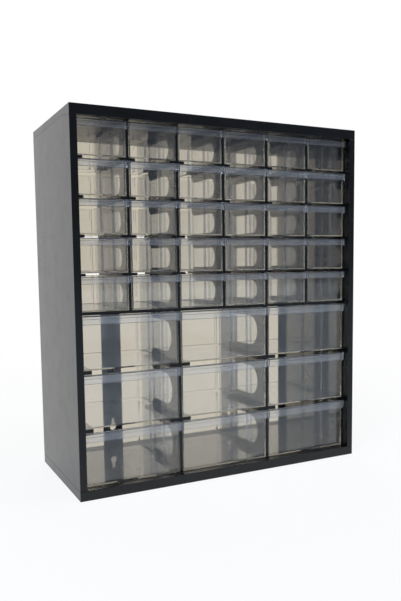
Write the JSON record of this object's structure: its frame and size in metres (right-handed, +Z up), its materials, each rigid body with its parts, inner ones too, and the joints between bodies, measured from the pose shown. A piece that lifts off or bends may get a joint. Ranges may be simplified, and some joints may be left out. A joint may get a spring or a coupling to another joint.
{
  "type": "parts bin cabinet",
  "caption": "Upright parts cabinet: a black open-backed frame with rows of small clear drawers above larger clear drawers, each sliding out by a finger lip.",
  "frame": {"origin": "middle of the footprint, on the surface that the cabinet stands on", "axes": "+X across the cabinet to the right as seen from the front, -Y out of the drawer fronts, +Y to the open back, +Z up"},
  "size_m": [0.39, 0.1718, 0.4419],
  "materials": {
    "frame_plastic": "black moulded plastic with a low sheen",
    "drawer_plastic": "clear moulded polystyrene, glossy"
  },
  "bodies": {
    "frame": {"top_panel": "frame_plastic", "base_panel": "frame_plastic", "left_side": "frame_plastic", "right_side": "frame_plastic", "mid_shelf": "frame_plastic", "upper_divider_1": "frame_plastic", "upper_divider_2": "frame_plastic", "upper_divider_3": "frame_plastic", "upper_divider_4": "frame_plastic", "upper_divider_5": "frame_plastic", "lower_divider_1": "frame_plastic", "lower_divider_2": "frame_plastic", "left_rear_strap": "frame_plastic", "right_rear_strap": "frame_plastic"},
    "large_drawer_1_1": {"large_drawer_1_1": "drawer_plastic"},
    "large_drawer_1_2": {"large_drawer_1_2": "drawer_plastic"},
    "large_drawer_1_3": {"large_drawer_1_3": "drawer_plastic"},
    "large_drawer_2_1": {"large_drawer_2_1": "drawer_plastic"},
    "large_drawer_2_2": {"large_drawer_2_2": "drawer_plastic"},
    "large_drawer_2_3": {"large_drawer_2_3": "drawer_plastic"},
    "large_drawer_3_1": {"large_drawer_3_1": "drawer_plastic"},
    "large_drawer_3_2": {"large_drawer_3_2": "drawer_plastic"},
    "large_drawer_3_3": {"large_drawer_3_3": "drawer_plastic"},
    "small_drawer_1_1": {"small_drawer_1_1": "drawer_plastic"},
    "small_drawer_1_2": {"small_drawer_1_2": "drawer_plastic"},
    "small_drawer_1_3": {"small_drawer_1_3": "drawer_plastic"},
    "small_drawer_1_4": {"small_drawer_1_4": "drawer_plastic"},
    "small_drawer_1_5": {"small_drawer_1_5": "drawer_plastic"},
    "small_drawer_1_6": {"small_drawer_1_6": "drawer_plastic"},
    "small_drawer_2_1": {"small_drawer_2_1": "drawer_plastic"},
    "small_drawer_2_2": {"small_drawer_2_2": "drawer_plastic"},
    "small_drawer_2_3": {"small_drawer_2_3": "drawer_plastic"},
    "small_drawer_2_4": {"small_drawer_2_4": "drawer_plastic"},
    "small_drawer_2_5": {"small_drawer_2_5": "drawer_plastic"},
    "small_drawer_2_6": {"small_drawer_2_6": "drawer_plastic"},
    "small_drawer_3_1": {"small_drawer_3_1": "drawer_plastic"},
    "small_drawer_3_2": {"small_drawer_3_2": "drawer_plastic"},
    "small_drawer_3_3": {"small_drawer_3_3": "drawer_plastic"},
    "small_drawer_3_4": {"small_drawer_3_4": "drawer_plastic"},
    "small_drawer_3_5": {"small_drawer_3_5": "drawer_plastic"},
    "small_drawer_3_6": {"small_drawer_3_6": "drawer_plastic"},
    "small_drawer_4_1": {"small_drawer_4_1": "drawer_plastic"},
    "small_drawer_4_2": {"small_drawer_4_2": "drawer_plastic"},
    "small_drawer_4_3": {"small_drawer_4_3": "drawer_plastic"},
    "small_drawer_4_4": {"small_drawer_4_4": "drawer_plastic"},
    "small_drawer_4_5": {"small_drawer_4_5": "drawer_plastic"},
    "small_drawer_4_6": {"small_drawer_4_6": "drawer_plastic"},
    "small_drawer_5_1": {"small_drawer_5_1": "drawer_plastic"},
    "small_drawer_5_2": {"small_drawer_5_2": "drawer_plastic"},
    "small_drawer_5_3": {"small_drawer_5_3": "drawer_plastic"},
    "small_drawer_5_4": {"small_drawer_5_4": "drawer_plastic"},
    "small_drawer_5_5": {"small_drawer_5_5": "drawer_plastic"},
    "small_drawer_5_6": {"small_drawer_5_6": "drawer_plastic"}
  },
  "joints": [
    {"name": "large_drawer_1_1_slide", "type": "slide", "parent": "frame", "child": "large_drawer_1_1", "axis": [0, -1, 0], "range_m": [0, 0.1]},
    {"name": "large_drawer_1_2_slide", "type": "slide", "parent": "frame", "child": "large_drawer_1_2", "axis": [0, -1, 0], "range_m": [0, 0.1]},
    {"name": "large_drawer_1_3_slide", "type": "slide", "parent": "frame", "child": "large_drawer_1_3", "axis": [0, -1, 0], "range_m": [0, 0.1]},
    {"name": "large_drawer_2_1_slide", "type": "slide", "parent": "frame", "child": "large_drawer_2_1", "axis": [0, -1, 0], "range_m": [0, 0.1]},
    {"name": "large_drawer_2_2_slide", "type": "slide", "parent": "frame", "child": "large_drawer_2_2", "axis": [0, -1, 0], "range_m": [0, 0.1]},
    {"name": "large_drawer_2_3_slide", "type": "slide", "parent": "frame", "child": "large_drawer_2_3", "axis": [0, -1, 0], "range_m": [0, 0.1]},
    {"name": "large_drawer_3_1_slide", "type": "slide", "parent": "frame", "child": "large_drawer_3_1", "axis": [0, -1, 0], "range_m": [0, 0.1]},
    {"name": "large_drawer_3_2_slide", "type": "slide", "parent": "frame", "child": "large_drawer_3_2", "axis": [0, -1, 0], "range_m": [0, 0.1]},
    {"name": "large_drawer_3_3_slide", "type": "slide", "parent": "frame", "child": "large_drawer_3_3", "axis": [0, -1, 0], "range_m": [0, 0.1]},
    {"name": "small_drawer_1_1_slide", "type": "slide", "parent": "frame", "child": "small_drawer_1_1", "axis": [0, -1, 0], "range_m": [0, 0.1]},
    {"name": "small_drawer_1_2_slide", "type": "slide", "parent": "frame", "child": "small_drawer_1_2", "axis": [0, -1, 0], "range_m": [0, 0.1]},
    {"name": "small_drawer_1_3_slide", "type": "slide", "parent": "frame", "child": "small_drawer_1_3", "axis": [0, -1, 0], "range_m": [0, 0.1]},
    {"name": "small_drawer_1_4_slide", "type": "slide", "parent": "frame", "child": "small_drawer_1_4", "axis": [0, -1, 0], "range_m": [0, 0.1]},
    {"name": "small_drawer_1_5_slide", "type": "slide", "parent": "frame", "child": "small_drawer_1_5", "axis": [0, -1, 0], "range_m": [0, 0.1]},
    {"name": "small_drawer_1_6_slide", "type": "slide", "parent": "frame", "child": "small_drawer_1_6", "axis": [0, -1, 0], "range_m": [0, 0.1]},
    {"name": "small_drawer_2_1_slide", "type": "slide", "parent": "frame", "child": "small_drawer_2_1", "axis": [0, -1, 0], "range_m": [0, 0.1]},
    {"name": "small_drawer_2_2_slide", "type": "slide", "parent": "frame", "child": "small_drawer_2_2", "axis": [0, -1, 0], "range_m": [0, 0.1]},
    {"name": "small_drawer_2_3_slide", "type": "slide", "parent": "frame", "child": "small_drawer_2_3", "axis": [0, -1, 0], "range_m": [0, 0.1]},
    {"name": "small_drawer_2_4_slide", "type": "slide", "parent": "frame", "child": "small_drawer_2_4", "axis": [0, -1, 0], "range_m": [0, 0.1]},
    {"name": "small_drawer_2_5_slide", "type": "slide", "parent": "frame", "child": "small_drawer_2_5", "axis": [0, -1, 0], "range_m": [0, 0.1]},
    {"name": "small_drawer_2_6_slide", "type": "slide", "parent": "frame", "child": "small_drawer_2_6", "axis": [0, -1, 0], "range_m": [0, 0.1]},
    {"name": "small_drawer_3_1_slide", "type": "slide", "parent": "frame", "child": "small_drawer_3_1", "axis": [0, -1, 0], "range_m": [0, 0.1]},
    {"name": "small_drawer_3_2_slide", "type": "slide", "parent": "frame", "child": "small_drawer_3_2", "axis": [0, -1, 0], "range_m": [0, 0.1]},
    {"name": "small_drawer_3_3_slide", "type": "slide", "parent": "frame", "child": "small_drawer_3_3", "axis": [0, -1, 0], "range_m": [0, 0.1]},
    {"name": "small_drawer_3_4_slide", "type": "slide", "parent": "frame", "child": "small_drawer_3_4", "axis": [0, -1, 0], "range_m": [0, 0.1]},
    {"name": "small_drawer_3_5_slide", "type": "slide", "parent": "frame", "child": "small_drawer_3_5", "axis": [0, -1, 0], "range_m": [0, 0.1]},
    {"name": "small_drawer_3_6_slide", "type": "slide", "parent": "frame", "child": "small_drawer_3_6", "axis": [0, -1, 0], "range_m": [0, 0.1]},
    {"name": "small_drawer_4_1_slide", "type": "slide", "parent": "frame", "child": "small_drawer_4_1", "axis": [0, -1, 0], "range_m": [0, 0.1]},
    {"name": "small_drawer_4_2_slide", "type": "slide", "parent": "frame", "child": "small_drawer_4_2", "axis": [0, -1, 0], "range_m": [0, 0.1]},
    {"name": "small_drawer_4_3_slide", "type": "slide", "parent": "frame", "child": "small_drawer_4_3", "axis": [0, -1, 0], "range_m": [0, 0.1]},
    {"name": "small_drawer_4_4_slide", "type": "slide", "parent": "frame", "child": "small_drawer_4_4", "axis": [0, -1, 0], "range_m": [0, 0.1]},
    {"name": "small_drawer_4_5_slide", "type": "slide", "parent": "frame", "child": "small_drawer_4_5", "axis": [0, -1, 0], "range_m": [0, 0.1]},
    {"name": "small_drawer_4_6_slide", "type": "slide", "parent": "frame", "child": "small_drawer_4_6", "axis": [0, -1, 0], "range_m": [0, 0.1]},
    {"name": "small_drawer_5_1_slide", "type": "slide", "parent": "frame", "child": "small_drawer_5_1", "axis": [0, -1, 0], "range_m": [0, 0.1]},
    {"name": "small_drawer_5_2_slide", "type": "slide", "parent": "frame", "child": "small_drawer_5_2", "axis": [0, -1, 0], "range_m": [0, 0.1]},
    {"name": "small_drawer_5_3_slide", "type": "slide", "parent": "frame", "child": "small_drawer_5_3", "axis": [0, -1, 0], "range_m": [0, 0.1]},
    {"name": "small_drawer_5_4_slide", "type": "slide", "parent": "frame", "child": "small_drawer_5_4", "axis": [0, -1, 0], "range_m": [0, 0.1]},
    {"name": "small_drawer_5_5_slide", "type": "slide", "parent": "frame", "child": "small_drawer_5_5", "axis": [0, -1, 0], "range_m": [0, 0.1]},
    {"name": "small_drawer_5_6_slide", "type": "slide", "parent": "frame", "child": "small_drawer_5_6", "axis": [0, -1, 0], "range_m": [0, 0.1]}
  ]
}
